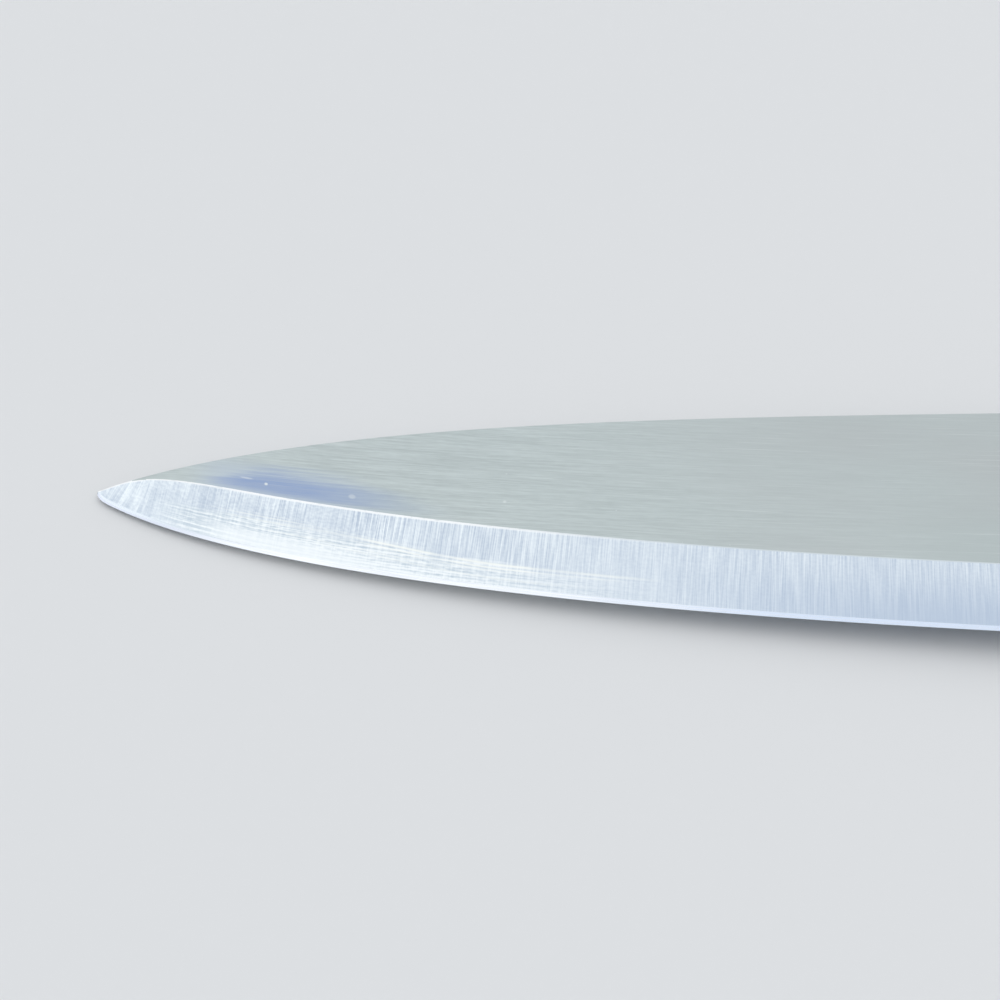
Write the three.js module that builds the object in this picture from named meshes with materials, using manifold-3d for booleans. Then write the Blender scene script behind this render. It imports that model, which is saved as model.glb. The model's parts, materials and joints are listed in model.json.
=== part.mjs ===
// A carving knife lying on its right face: a wide-bevel blade with a full tang, two pinned bolster
// halves, and two wooden scales drawn together by three pairs of rivets.
// Millimetres, +Z up. The tip points to -X, the cutting edge faces -Y, and the left face is up.
import * as THREE from "three";
import { mergeVertices } from "three/addons/utils/BufferGeometryUtils.js";
import Module from "manifold-3d";

const wasm = await Module();
wasm.setup();

// Blade outline. x runs from the tip to the butt, and y = 0 is the spine's straight line.
const bladeLength = 240;
const heelHeight = 45.2;
const tipDrop = 14.96; // depth of the tip below the spine's straight line
const spineCurl = 34.7; // length over which the spine's fall towards the tip shrinks by e
const tipBlunt = 0.3; // height of the small flat that ends the tip
const tipRoundDepth = 0.9; // the edge turns up to that flat in a round of this depth
const tipRoundLength = 1.6; // and this length
const bellyRun = 33.9; // the edge's curve leaves the tip towards a point this far along the blade,
const bellyRise = 4.8; // and this far above the heel
const heelRun = 81; // the edge's curve comes to the heel from a point this far ahead of it,
const heelRise = 1.6; // and this far above it

// Blade section. Both faces are alike: a flat, a wide bevel and a narrow honed bevel at the edge.
const heelThickness = 2.5;
const distalTaper = 0.12; // thickness lost evenly from heel to tip
const tipThinning = 0.35; // thickness lost besides, towards the tip
const tipThinningLength = 79;
const pointThinning = 1.72; // thickness lost besides at the very point
const pointCurl = 6.2; // length over which that loss shrinks by e
const bevelAngle = THREE.MathUtils.degToRad(5.78);
const honedWidth = 0.7;
const honedAngle = THREE.MathUtils.degToRad(14);
const edgeFlat = 0.05;
const spineChamfer = 0.3;
const chamferShare = 1 / 4; // most of the blade's height or thickness that the chamfer takes at the tip

// Neck between the heel and the bolster.
const choilRadius = 8;
const neckStraight = 5; // from the end of the choil's round to the bolster

// Handle outline, shared by the tang, the bolsters and the scales.
const bolsterLength = 17;
const scaleLength = 112;
const handleTop = 0.6; // depth of the handle's upper line below the spine line, at the bolster
const handleArch = 1.2; // rise of that line at the middle of the handle
const handleTopFall = 4.4; // fall of that line at the butt
const handleDepth = 23.4; // depth of the handle's lower line, at the bolster
const handleWaist = 2.2; // rise of that line for the fingers
const handleFlare = 5.2; // drop of that line at the butt
const buttRadius = 9;
const buttShare = 0.4; // most of the butt's height that one rounded corner takes

// Handle thickness, each side measured from the blade's middle plane.
const frontHalfThickness = 7.3;
const buttHalfThickness = 9.2;
const handleSwell = 1.1;
const buttEase = 3; // depth of the rounding towards the butt's end face
const cornerRadius = 4.6; // rounding of the handle's long edges
const cornerShare = 1 / 3; // most of the handle's height that one rounded edge takes
const sideStraight = 0.8; // straight stretch of a section beside the tang
const bolsterLip = 0.7; // thickness of the bolster's front edge
const noseLead = 4.2; // how far ahead of that edge the bolster's slope would begin

// Rivets: a post from the left face is driven into a sleeve from the right face.
const rivetInset = 19; // from either end of a scale to the nearest rivet's axis
const postDiameter = 3;
const sleeveWall = 0.85;
const headOverhang = 1.4; // how far a rivet's head reaches past its sleeve
const headHeight = 2.2;
const sleeveMouthGap = 0.5; // between the sleeve's mouth and the post's head
const sleeveFloor = 1.2; // depth of metal between the sleeve's head and its bore
const postEndGap = 0.6; // between the post's end and the bottom of the bore

// Bolster pins.
const pinDiameter = 2.8;
const pinSpread = 9.4; // between the two pins' axes
const pinSetback = 5.4; // from the bolster's rear face to the pins' axes

// Clearances.
const glueLine = 0.05; // between the tang and what is glued to it
const endJoint = 0.05; // between a bolster and its scale
const holeClearance = 0.06; // around a pin, post, sleeve or rivet head, on the radius

// Fineness of the faceted surfaces.
const bladeStations = 80;
const tipCrowding = 1.8; // above 1, the blade's stations lie closer together towards the tip
const choilStations = 10;
const bolsterStations = 12;
const scaleStations = 24;
const buttStations = 9;
const cornerSteps = 8;
const roundSides = 40;
const restSteps = 240;

const bolsterStart = bladeLength + choilRadius + neckStraight;
const scaleStart = bolsterStart + bolsterLength;
const handleEnd = scaleStart + scaleLength;
const tangHalf = heelThickness / 2;
const sideBase = tangHalf + glueLine;
const buttHeight = handleDepth + handleFlare - handleTop - handleTopFall;
const buttRound = Math.min(buttRadius, buttHeight * buttShare);
const postRadius = postDiameter / 2;
const boreRadius = postRadius + holeClearance;
const sleeveRadius = boreRadius + sleeveWall;
const headRadius = sleeveRadius + headOverhang;
const pinRadius = pinDiameter / 2;

const bladeSteel = new THREE.MeshStandardMaterial({ color: 0xc3cacb, roughness: 0.35, metalness: 1 });
const bolsterSteel = new THREE.MeshStandardMaterial({ color: 0xb9bec0, roughness: 0.25, metalness: 1 });
const rivetMetal = new THREE.MeshStandardMaterial({ color: 0xc4c2ba, roughness: 0.3, metalness: 1 });
const wood = new THREE.MeshStandardMaterial({ color: 0x5a3422, roughness: 0.55, metalness: 0 });

// Evenly spaced values from a to b.
function spread(a, b, count) {
  return Array.from({ length: count + 1 }, (_, i) => a + ((b - a) * i) / count);
}

// Blade curves.

function spineY(x) {
  return -tipDrop * Math.exp(-x / spineCurl);
}

const edgeCurve = new THREE.CubicBezierCurve(
  new THREE.Vector2(0, spineY(0) - tipBlunt - tipRoundDepth),
  new THREE.Vector2(bellyRun, bellyRise - heelHeight),
  new THREE.Vector2(bladeLength - heelRun, heelRise - heelHeight),
  new THREE.Vector2(bladeLength, -heelHeight),
);

// The edge curve's parameter at x, found by halving because x grows steadily along the curve.
function edgeParameter(x) {
  let low = 0;
  let high = 1;
  for (let i = 0; i < 40; i++) {
    const half = (low + high) / 2;
    if (edgeCurve.getPoint(half).x < x) low = half;
    else high = half;
  }
  return (low + high) / 2;
}

// How far the edge has turned up from its curve at x, to round the tip.
function tipLift(x) {
  const along = Math.max(0, 1 - x / tipRoundLength);
  return tipRoundDepth * (1 - Math.sqrt(1 - along ** 2));
}

function halfThickness(x) {
  const even = tangHalf - (distalTaper / 2) * (1 - x / bladeLength);
  const nearTip = Math.max(0, 1 - x / tipThinningLength);
  const atPoint = Math.exp(-x / pointCurl);
  return even - (tipThinning / 2) * nearTip ** 2 - (pointThinning / 2) * atPoint;
}

// One face of the blade's section at x, from spine to edge, as [y, z] pairs. Near the tip the bevel
// reaches the spine, and only a sliver of the flat is left.
function bladeFace(x) {
  const t = edgeParameter(x);
  const slant = 1 / edgeCurve.getTangent(t).x; // a width across the edge, measured along y
  const top = spineY(x);
  const edge = edgeCurve.getPoint(t).y + tipLift(x);
  const honedTop = edge + Math.min(honedWidth * slant, (top - edge) / 2);
  const honedZ = edgeFlat / 2 + ((honedTop - edge) / slant) * Math.tan(honedAngle);
  const bevelZ = (y) => honedZ + ((y - honedTop) / slant) * Math.tan(bevelAngle);
  const faceZ = (y) => Math.min(halfThickness(x), bevelZ(y));
  const chamfer = Math.min(spineChamfer, faceZ(top) * chamferShare, (top - honedTop) * chamferShare);
  const flatTop = top - chamfer;
  const ridge = honedTop + ((faceZ(top) - honedZ) / Math.tan(bevelAngle)) * slant;
  const ridgeY = Math.min(ridge, flatTop - chamfer / 2);
  return [
    [top, faceZ(flatTop) - chamfer],
    [flatTop, faceZ(flatTop)],
    [ridgeY, faceZ(ridgeY)],
    [honedTop, honedZ],
    [edge, edgeFlat / 2],
  ];
}

// Handle curves.

// Share of the way along the handle, from the bolster's front to the butt.
function handleShare(x) {
  return (x - bolsterStart) / (handleEnd - bolsterStart);
}

// How far a rounding of this depth has turned in at x, just ahead of the butt's end face.
function buttTurn(x, depth) {
  const along = THREE.MathUtils.clamp(1 - (handleEnd - x) / buttRound, 0, 1);
  return depth * (1 - Math.sqrt(1 - along ** 2));
}

function handleUpper(x) {
  const s = handleShare(x);
  const line = -handleTop + handleArch * Math.sin(Math.PI * s) - handleTopFall * s ** 2;
  return line - buttTurn(x, buttRound);
}

function handleLower(x) {
  const s = handleShare(x);
  const line = -handleDepth + handleWaist * Math.sin(Math.PI * s) * (1 - s) - handleFlare * s ** 2;
  return line + buttTurn(x, buttRound);
}

function handleOuter(x) {
  const s = handleShare(x);
  const taper = THREE.MathUtils.lerp(frontHalfThickness, buttHalfThickness, s);
  const full = taper + handleSwell * Math.sin(Math.PI * s) - buttTurn(x, buttEase);
  const slope = THREE.MathUtils.smoothstep(x, bolsterStart - noseLead, scaleStart);
  return THREE.MathUtils.lerp(tangHalf + bolsterLip, full, slope);
}

// The handle's section at x on the left face, from the upper line round to the lower line, as
// [y, z] pairs: two rounded edges with a flat between them.
function handleFace(x) {
  const top = handleUpper(x);
  const bottom = handleLower(x);
  const outer = handleOuter(x);
  const side = Math.min(sideBase + sideStraight, (sideBase + outer) / 2);
  const across = Math.min(cornerRadius, (top - bottom) * cornerShare);
  const depth = Math.min(cornerRadius, outer - side);
  const corner = spread(0, Math.PI / 2, cornerSteps).map((angle) => [
    across * (1 - Math.cos(angle)),
    outer - depth * (1 - Math.sin(angle)),
  ]);
  const upper = corner.map(([inset, z]) => [top - inset, z]);
  const lower = corner.map(([inset, z]) => [bottom + inset, z]).reverse();
  return upper.concat(lower);
}

// The left face's section closed along the tang.
function handleSlab(x) {
  return [[handleUpper(x), sideBase], ...handleFace(x), [handleLower(x), sideBase]];
}

// Places along the scales, closer together where the butt is rounded.
function scalePlaces() {
  const even = spread(scaleStart, handleEnd - buttRound, scaleStations);
  const round = spread(0, Math.PI / 2, buttStations).slice(1);
  return even.concat(round.map((angle) => handleEnd - buttRound * (1 - Math.sin(angle))));
}

function handlePlaces() {
  return spread(bolsterStart, scaleStart, bolsterStations).concat(scalePlaces().slice(1));
}

// Solids.

// Closed skin over convex sections that follow each other along x, each a ring of [y, z] pairs.
function loft(places, ringAt) {
  const rings = places.map(ringAt);
  const size = rings[0].length;
  const positions = rings.flatMap((ring, i) => ring.flatMap(([y, z]) => [places[i], y, z]));
  const faces = [];
  for (let i = 0; i + 1 < rings.length; i++) {
    for (let j = 0; j < size; j++) {
      const a = i * size + j;
      const b = i * size + ((j + 1) % size);
      faces.push(a, b, a + size, b, b + size, a + size);
    }
  }
  const last = (rings.length - 1) * size;
  for (let j = 1; j + 1 < size; j++) {
    faces.push(0, j + 1, j, last, last + j, last + j + 1);
  }
  const geometry = new THREE.BufferGeometry();
  geometry.setAttribute("position", new THREE.Float32BufferAttribute(positions, 3));
  geometry.setIndex(faces);
  return solidOf(geometry);
}

// A left-face section and its mirror image in the blade's plane, as one ring.
function bothSides(face) {
  return face.concat(face.map(([y, z]) => [y, -z]).reverse());
}

function solidOf(geometry) {
  const bare = geometry.clone();
  bare.deleteAttribute("normal");
  bare.deleteAttribute("uv");
  const merged = mergeVertices(bare, 1e-5);
  return new wasm.Manifold(
    new wasm.Mesh({
      numProp: 3,
      vertProperties: merged.attributes.position.array,
      triVerts: new Uint32Array(merged.index.array),
    }),
  );
}

function geometryOf(solid) {
  const mesh = solid.getMesh();
  const geometry = new THREE.BufferGeometry();
  geometry.setAttribute("position", new THREE.BufferAttribute(mesh.vertProperties, 3));
  geometry.setIndex(new THREE.BufferAttribute(mesh.triVerts, 1));
  geometry.computeVertexNormals();
  return geometry;
}

// A solid turned about the line through (x, y) along z, from a profile of [radius, z] pairs that
// starts on the axis at its lower end.
function turned({ x, y }, profile) {
  const points = profile.map(([radius, z]) => new THREE.Vector2(radius, z));
  const geometry = new THREE.LatheGeometry(points, roundSides);
  return solidOf(geometry.rotateX(Math.PI / 2).translate(x, y, 0));
}

function roundBar(place, radius, low, high) {
  return turned(place, [[0, low], [radius, low], [radius, high], [0, high]]);
}

function mirrored(solid) {
  return solid.mirror([0, 0, 1]);
}

// Places of the fasteners, on the handle's middle line.

function onMiddleLine(x, above = 0) {
  return { x, y: (handleUpper(x) + handleLower(x)) / 2 + above };
}

const rivetNames = ["front", "middle", "rear"];
const rivetPlaces = spread(scaleStart + rivetInset, handleEnd - rivetInset, rivetNames.length - 1).map(
  (x) => onMiddleLine(x),
);
const pinNames = ["upper", "lower"];
const pinPlaces = [pinSpread / 2, -pinSpread / 2].map((above) =>
  onMiddleLine(scaleStart - pinSetback, above),
);

// The whole handle's outer form, to which pins and rivets are ground flush.
const handleForm = loft(handlePlaces(), (x) => bothSides(handleFace(x)));
const throughHandle = 2 * (frontHalfThickness + buttHalfThickness); // past either face

// Sub-parts.

function groundBlade() {
  const places = spread(0, 1, bladeStations).map((t) => bladeLength * t ** tipCrowding);
  return loft(places, (x) => bothSides(bladeFace(x)));
}

function bladeNeck() {
  const top = (x) => {
    const share = THREE.MathUtils.smoothstep(x, bladeLength, bolsterStart);
    return THREE.MathUtils.lerp(spineY(x), handleUpper(bolsterStart), share);
  };
  const bottom = (x) => {
    const along = THREE.MathUtils.clamp(1 - (x - bladeLength) / choilRadius, 0, 1);
    return handleLower(bolsterStart) - choilRadius * (1 - Math.sqrt(1 - along ** 2));
  };
  const choil = spread(0, Math.PI / 2, choilStations).map(
    (angle) => bladeLength + choilRadius * (1 - Math.cos(angle)),
  );
  return loft(choil.concat(bolsterStart), (x) =>
    bothSides([
      [top(x), tangHalf - spineChamfer],
      [top(x) - spineChamfer, tangHalf],
      [bottom(x), tangHalf],
    ]),
  );
}

function tang() {
  const along = handlePlaces();
  const lower = along.map((x) => new THREE.Vector2(x, handleLower(x)));
  const upper = along.map((x) => new THREE.Vector2(x, handleUpper(x))).reverse();
  const outline = new THREE.Shape(lower.concat(upper));
  const drill = (radius) => ({ x, y }) => {
    outline.holes.push(new THREE.Path().absarc(x, y, radius + holeClearance, 0, 2 * Math.PI));
  };
  rivetPlaces.forEach(drill(sleeveRadius));
  pinPlaces.forEach(drill(pinRadius));
  const plate = { depth: heelThickness, bevelEnabled: false, curveSegments: roundSides / 2 };
  return solidOf(new THREE.ExtrudeGeometry(outline, plate).translate(0, 0, -tangHalf));
}

// The blade, its neck and the full tang are one piece of steel.
function blade() {
  return groundBlade().add(bladeNeck()).add(tang());
}

// The left half of the bolster. The right half is its mirror image.
function bolster() {
  const places = spread(bolsterStart, scaleStart - endJoint, bolsterStations);
  return pinPlaces.reduce(
    (solid, pin) => solid.subtract(roundBar(pin, pinRadius + holeClearance, 0, throughHandle)),
    loft(places, handleSlab),
  );
}

// The left scale, with a stepped hole for each rivet. The right scale is its mirror image.
function scale() {
  return rivetPlaces.reduce((solid, rivet) => {
    const seat = handleOuter(rivet.x) - headHeight - holeClearance;
    return solid
      .subtract(roundBar(rivet, sleeveRadius + holeClearance, 0, throughHandle))
      .subtract(roundBar(rivet, headRadius + holeClearance, seat, throughHandle));
  }, loft(scalePlaces(), handleSlab));
}

function bolsterPin(place) {
  return roundBar(place, pinRadius, -throughHandle, throughHandle).intersect(handleForm);
}

// The sleeve's head lies in the right scale, and its bore opens towards the post.
function rivetSleeve(place) {
  const seat = handleOuter(place.x) - headHeight;
  const mouth = seat - sleeveMouthGap;
  const floor = sleeveFloor - seat;
  return turned(place, [
    [0, -throughHandle],
    [headRadius, -throughHandle],
    [headRadius, -seat],
    [sleeveRadius, -seat],
    [sleeveRadius, mouth],
    [boreRadius, mouth],
    [boreRadius, floor],
    [0, floor],
  ]).intersect(handleForm);
}

// The post's head lies in the left scale.
function rivetPost(place) {
  const seat = handleOuter(place.x) - headHeight;
  const end = sleeveFloor + postEndGap - seat;
  return turned(place, [
    [0, end],
    [postRadius, end],
    [postRadius, seat],
    [headRadius, seat],
    [headRadius, throughHandle],
    [0, throughHandle],
  ]).intersect(handleForm);
}

// The knife lies on its blade just behind the tip and on its handle. The slope of its middle plane is
// found by halving, until the lowest points of the two are level.
function restSlope() {
  const ahead = spread(0, tipThinningLength, restSteps).map((x) => [x, bladeFace(x)[1][1]]);
  const behind = spread(bolsterStart, handleEnd, restSteps).map((x) => [x, handleOuter(x)]);
  const lowest = (points, slope) => Math.min(...points.map(([x, depth]) => x * slope - depth));
  let low = 0;
  let high = 1;
  for (let i = 0; i < 40; i++) {
    const half = (low + high) / 2;
    if (lowest(behind, half) < lowest(ahead, half)) low = half;
    else high = half;
  }
  return (low + high) / 2;
}

const knife = new THREE.Group();

function place(name, solid, material) {
  const mesh = new THREE.Mesh(geometryOf(solid), material);
  mesh.name = name;
  knife.add(mesh);
}

place("blade", blade(), bladeSteel);
place("bolster_left", bolster(), bolsterSteel);
place("bolster_right", mirrored(bolster()), bolsterSteel);
pinPlaces.forEach((pin, i) => place(`bolster_pin_${pinNames[i]}`, bolsterPin(pin), bolsterSteel));
place("scale_left", scale(), wood);
place("scale_right", mirrored(scale()), wood);
rivetPlaces.forEach((rivet, i) => {
  place(`rivet_${rivetNames[i]}_sleeve`, rivetSleeve(rivet), rivetMetal);
  place(`rivet_${rivetNames[i]}_post`, rivetPost(rivet), rivetMetal);
});

// Set down on z = 0, with the origin under the middle of the knife.
knife.rotation.y = -Math.atan(restSlope());
knife.updateMatrixWorld(true);
const bounds = new THREE.Box3().setFromObject(knife, true);
const middle = bounds.getCenter(new THREE.Vector3());
knife.position.set(-middle.x, -middle.y, -bounds.min.z);

const part = new THREE.Group();
part.add(knife);

export default part;
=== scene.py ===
import json
import math
import bmesh
import bpy
import numpy as np
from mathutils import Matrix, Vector
from mathutils.bvhtree import BVHTree


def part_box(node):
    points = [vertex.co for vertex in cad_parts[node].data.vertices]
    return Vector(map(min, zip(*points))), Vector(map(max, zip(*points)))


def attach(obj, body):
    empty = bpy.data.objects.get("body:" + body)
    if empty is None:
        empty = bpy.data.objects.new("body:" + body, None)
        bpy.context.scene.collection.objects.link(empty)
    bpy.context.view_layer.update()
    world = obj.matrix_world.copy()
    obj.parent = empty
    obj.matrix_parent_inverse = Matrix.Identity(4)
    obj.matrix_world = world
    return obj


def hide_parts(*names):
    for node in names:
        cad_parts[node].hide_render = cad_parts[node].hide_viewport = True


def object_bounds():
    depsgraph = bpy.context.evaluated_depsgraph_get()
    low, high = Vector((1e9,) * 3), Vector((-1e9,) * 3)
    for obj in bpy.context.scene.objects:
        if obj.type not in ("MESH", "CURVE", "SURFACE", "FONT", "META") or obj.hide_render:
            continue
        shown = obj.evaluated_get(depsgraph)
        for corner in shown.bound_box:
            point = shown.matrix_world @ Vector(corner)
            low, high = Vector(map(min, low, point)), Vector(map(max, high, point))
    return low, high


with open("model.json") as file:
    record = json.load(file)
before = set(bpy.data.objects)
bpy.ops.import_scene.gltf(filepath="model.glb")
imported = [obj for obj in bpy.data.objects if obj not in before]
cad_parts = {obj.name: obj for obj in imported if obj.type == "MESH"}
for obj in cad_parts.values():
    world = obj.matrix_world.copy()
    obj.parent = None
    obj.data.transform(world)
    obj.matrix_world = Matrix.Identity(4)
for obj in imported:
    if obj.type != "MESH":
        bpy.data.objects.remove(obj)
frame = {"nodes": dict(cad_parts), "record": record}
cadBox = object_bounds()
print("frame loaded:", len(frame["nodes"]), "nodes")

mmPerMetre = 1000  # shapes are in metres, the looks in millimetres


# where the knife lies: its middle plane is halfway between the two flats that the record gives

mounts = {mount["name"]: mount for mount in frame["record"]["mounts"]}
leftFlat, rightFlat = (Vector(mounts[name]["axis"]) for name in ("left_flat", "right_flat"))
middle = (Vector(mounts["left_flat"]["pos_m"]) + Vector(mounts["right_flat"]["pos_m"])) / 2
slope = math.atan2(rightFlat.x - leftFlat.x, leftFlat.z - rightFlat.z)  # the handle end lies higher
tipReach = 0.0001  # corners this near to the foremost one are the tip


def tipPlace():
    corners = np.array([corner.co for corner in frame["nodes"]["blade"].data.vertices])
    atTip = corners[corners[:, 0] < corners[:, 0].min() + tipReach]
    return Vector((atTip.min(0) + atTip.max(0)) / 2)


tip = tipPlace()


# modelling helpers

def pick(piece):
    bpy.ops.object.select_all(action="DESELECT")  # the CAD nodes come in selected
    piece.select_set(True)
    bpy.context.view_layer.objects.active = piece


def startEdit(piece, mode):
    pick(piece)
    bpy.ops.object.mode_set(mode="EDIT")
    bpy.ops.mesh.select_mode(type=mode)
    bpy.ops.mesh.select_all(action="DESELECT")


def endEdit():
    bpy.ops.object.mode_set(mode="OBJECT")


copyWork = dict(mergeDistance=2e-6, quads=dict(face_threshold=math.radians(0.6), shape_threshold=math.pi))


def copyNode(nodeName, name):  # the CAD's loose triangles, joined up and paired into quads
    piece = bpy.data.objects.new(name, frame["nodes"][nodeName].data.copy())
    bpy.context.scene.collection.objects.link(piece)
    piece.data.materials.clear()
    startEdit(piece, "FACE")
    bpy.ops.mesh.select_all(action="SELECT")
    bpy.ops.mesh.customdata_custom_splitnormals_clear()
    bpy.ops.mesh.remove_doubles(threshold=copyWork["mergeDistance"])
    bpy.ops.mesh.tris_convert_to_quads(**copyWork["quads"])
    endEdit()
    return piece


def pickEdges(piece, wanted):  # goes into edit mode with the edges that a test picks out
    startEdit(piece, "EDGE")
    mesh = bmesh.from_edit_mesh(piece.data)
    mesh.normal_update()
    for edge in mesh.edges:
        edge.select = len(edge.link_faces) == 2 and wanted(edge)
    bmesh.update_edit_mesh(piece.data)


def easeEdges(piece, wanted, width, segments, slot=-1):  # slot -1 keeps the neighbours' material
    pickEdges(piece, wanted)
    bpy.ops.mesh.bevel(
        offset=width, offset_type="OFFSET", segments=segments, clamp_overlap=True, material=slot)
    endEdit()


def smoothEdges(piece, wanted):
    pickEdges(piece, wanted)
    bpy.ops.mesh.mark_sharp(clear=True)
    endEdit()


rimWork = dict(
    angle=math.radians(30),  # a rim is sharper than this
    facing=0.99,  # how squarely a face looks at the tang to count as its seat
    nudge=0.0002, clear=0.03,  # a ray starts this far off a rim and meets nothing within this
)


def joinSolids():  # all the CAD nodes as one tree, to look out from
    corners, faces = [], []
    for node in frame["nodes"].values():
        first = len(corners)
        corners += [corner.co.copy() for corner in node.data.vertices]
        faces += [[first + index for index in face.vertices] for face in node.data.polygons]
    return BVHTree.FromPolygons(corners, faces)


solids = joinSolids()


def facesTang(face):
    turned = face.normal.dot(leftFlat)
    isInward = (face.calc_center_median() - middle).dot(leftFlat) * turned < 0
    return isInward and abs(turned) > rimWork["facing"]


def isSeenRim(edge):  # a sharp outer edge with nothing in front of it
    first, second = (face.normal for face in edge.link_faces)
    isSharp = edge.is_convex and first.angle(second) >= rimWork["angle"]
    if not isSharp or any(map(facesTang, edge.link_faces)):
        return False
    aim = (first + second).normalized()
    start = (edge.verts[0].co + edge.verts[1].co) / 2 + aim * rimWork["nudge"]
    return solids.ray_cast(start, aim, rimWork["clear"])[0] is None


def finishPiece(piece, nodeName, smoothAngle):  # angle in degrees
    pick(piece)
    bpy.ops.object.shade_smooth_by_angle(angle=math.radians(smoothAngle))
    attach(piece, "root")
    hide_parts(nodeName)


# shader helpers

midTone = 0.5  # a mask at this value moves nothing


def addNode(tree, kind, **settings):
    made = tree.nodes.new(kind)
    for key, value in settings.items():
        setattr(made, key, value)
    return made


def feed(tree, value, socket):  # an output is wired, a number or colour is set
    if isinstance(value, bpy.types.NodeSocket):
        tree.links.new(value, socket)
    elif socket.type == "RGBA":
        socket.default_value = (*value, 1)
    else:
        socket.default_value = value


def calc(tree, operation, *values):
    made = addNode(tree, "ShaderNodeMath", operation=operation)
    for value, socket in zip(values, made.inputs):
        feed(tree, value, socket)
    return made.outputs[0]


def chain(tree, operation, values):
    result = values[0]
    for value in values[1:]:
        result = calc(tree, operation, result, value)
    return result


def times(tree, *values):
    return chain(tree, "MULTIPLY", values)


def plus(tree, *values):
    return chain(tree, "ADD", values)


def minus(tree, first, second):
    return calc(tree, "SUBTRACT", first, second)


def addShare(tree, base, value, share):
    return calc(tree, "MULTIPLY_ADD", value, share, base)


def weighted(tree, values, shares):
    return plus(tree, *(times(tree, value, share) for value, share in zip(values, shares)))


def swing(tree, base, mask, amount):  # a mask moves the base up and down
    return addShare(tree, base, plus(tree, mask, -midTone), amount)


def squares(tree, first, second):
    return plus(tree, times(tree, first, first), times(tree, second, second))


rampSockets = ("Value", "From Min", "From Max", "To Min", "To Max")


def ramp(tree, value, start, end, low=0.0, high=1.0):  # eases from low to high between two values
    made = addNode(tree, "ShaderNodeMapRange", interpolation_type="SMOOTHSTEP")
    for name, number in zip(rampSockets, (value, start, end, low, high)):
        feed(tree, number, made.inputs[name])
    return made.outputs["Result"]


def stretch(tree, value, start, full, end, gone):  # 0 before start, 1 from full to end, 0 after gone
    return times(tree, ramp(tree, value, start, full), ramp(tree, value, end, gone, 1.0, 0.0))


def nearTo(tree, value, centre, width):  # 1 at the centre, 0 a width away
    gap = calc(tree, "ABSOLUTE", minus(tree, value, centre))
    return ramp(tree, gap, 0.0, width, 1.0, 0.0)


def mixColour(tree, share, first, second, blend="MIX"):
    made = addNode(tree, "ShaderNodeMix", data_type="RGBA", blend_type=blend)
    for index, value in ((0, share), (6, first), (7, second)):  # the colour sockets of this node
        feed(tree, value, made.inputs[index])
    return made.outputs[2]


def vectorOf(tree, x, y, z=0.0):
    made = addNode(tree, "ShaderNodeCombineXYZ")
    for value, socket in zip((x, y, z), made.inputs):
        feed(tree, value, socket)
    return made.outputs[0]


def partsOf(tree, vector):
    made = addNode(tree, "ShaderNodeSeparateXYZ")
    tree.links.new(vector, made.inputs[0])
    return made.outputs


def mapOf(tree, name):
    return partsOf(tree, addNode(tree, "ShaderNodeUVMap", uv_map=name).outputs["UV"])[:2]


def knifePlace(tree):  # millimetres along from the tip, up from the spine and out from the middle plane
    mapping = addNode(tree, "ShaderNodeMapping")
    tree.links.new(addNode(tree, "ShaderNodeTexCoord").outputs["Object"], mapping.inputs["Vector"])
    along = tip.x * math.cos(slope) + tip.z * math.sin(slope)
    out = middle.z * math.cos(slope) - middle.x * math.sin(slope)
    start = Vector((along, cadBox[1][1], out))
    mapping.inputs["Scale"].default_value = (mmPerMetre, mmPerMetre, mmPerMetre)
    mapping.inputs["Rotation"].default_value = (0, slope, 0)
    mapping.inputs["Location"].default_value = -mmPerMetre * start
    return mapping.outputs["Vector"]


def knifeSpot(point):  # the same measures of one point
    along = (point.x - tip.x) * math.cos(slope) + (point.z - tip.z) * math.sin(slope)
    out = (point.z - middle.z) * math.cos(slope) - (point.x - middle.x) * math.sin(slope)
    return mmPerMetre * along, mmPerMetre * (point.y - cadBox[1][1]), mmPerMetre * out


def isLeft(tree, out):  # 1 on the left side, 0 on the right
    return calc(tree, "GREATER_THAN", out, 0.0)


def bumpOf(tree, height, depth):  # depth in millimetres
    made = addNode(tree, "ShaderNodeBump")
    made.inputs["Strength"].default_value = 1.0
    made.inputs["Distance"].default_value = depth / mmPerMetre
    tree.links.new(height, made.inputs["Height"])
    return made.outputs["Normal"]


def newMaterial(name, metallic):
    material = bpy.data.materials.new(name)
    material.use_nodes = True
    shader = material.node_tree.nodes["Principled BSDF"]
    shader.inputs["Metallic"].default_value = metallic
    return material, material.node_tree, shader


def wireShader(tree, shader, look, colour, dull, marks=None):  # dull runs through the look's two roughnesses
    feed(tree, colour, shader.inputs["Base Color"])
    feed(tree, ramp(tree, dull, 0.0, 1.0, *look["roughness"]), shader.inputs["Roughness"])
    if marks is not None:
        feed(tree, bumpOf(tree, marks, look["markDepth"]), shader.inputs["Normal"])


def newGroup(name, inputs, output):
    group = bpy.data.node_groups.new(name, "ShaderNodeTree")
    for socketName, kind, value in inputs:
        socket = group.interface.new_socket(socketName, in_out="INPUT", socket_type=kind)
        if value is not None:
            socket.default_value = value
    group.interface.new_socket(output, in_out="OUTPUT", socket_type="NodeSocketFloat")
    return group, group.nodes.new("NodeGroupInput").outputs, group.nodes.new("NodeGroupOutput").inputs[0]


def useGroup(tree, group, **values):
    made = addNode(tree, "ShaderNodeGroup", node_tree=group)
    for name, value in values.items():
        feed(tree, value, made.inputs[name.capitalize()])
    return made.outputs[0]


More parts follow.
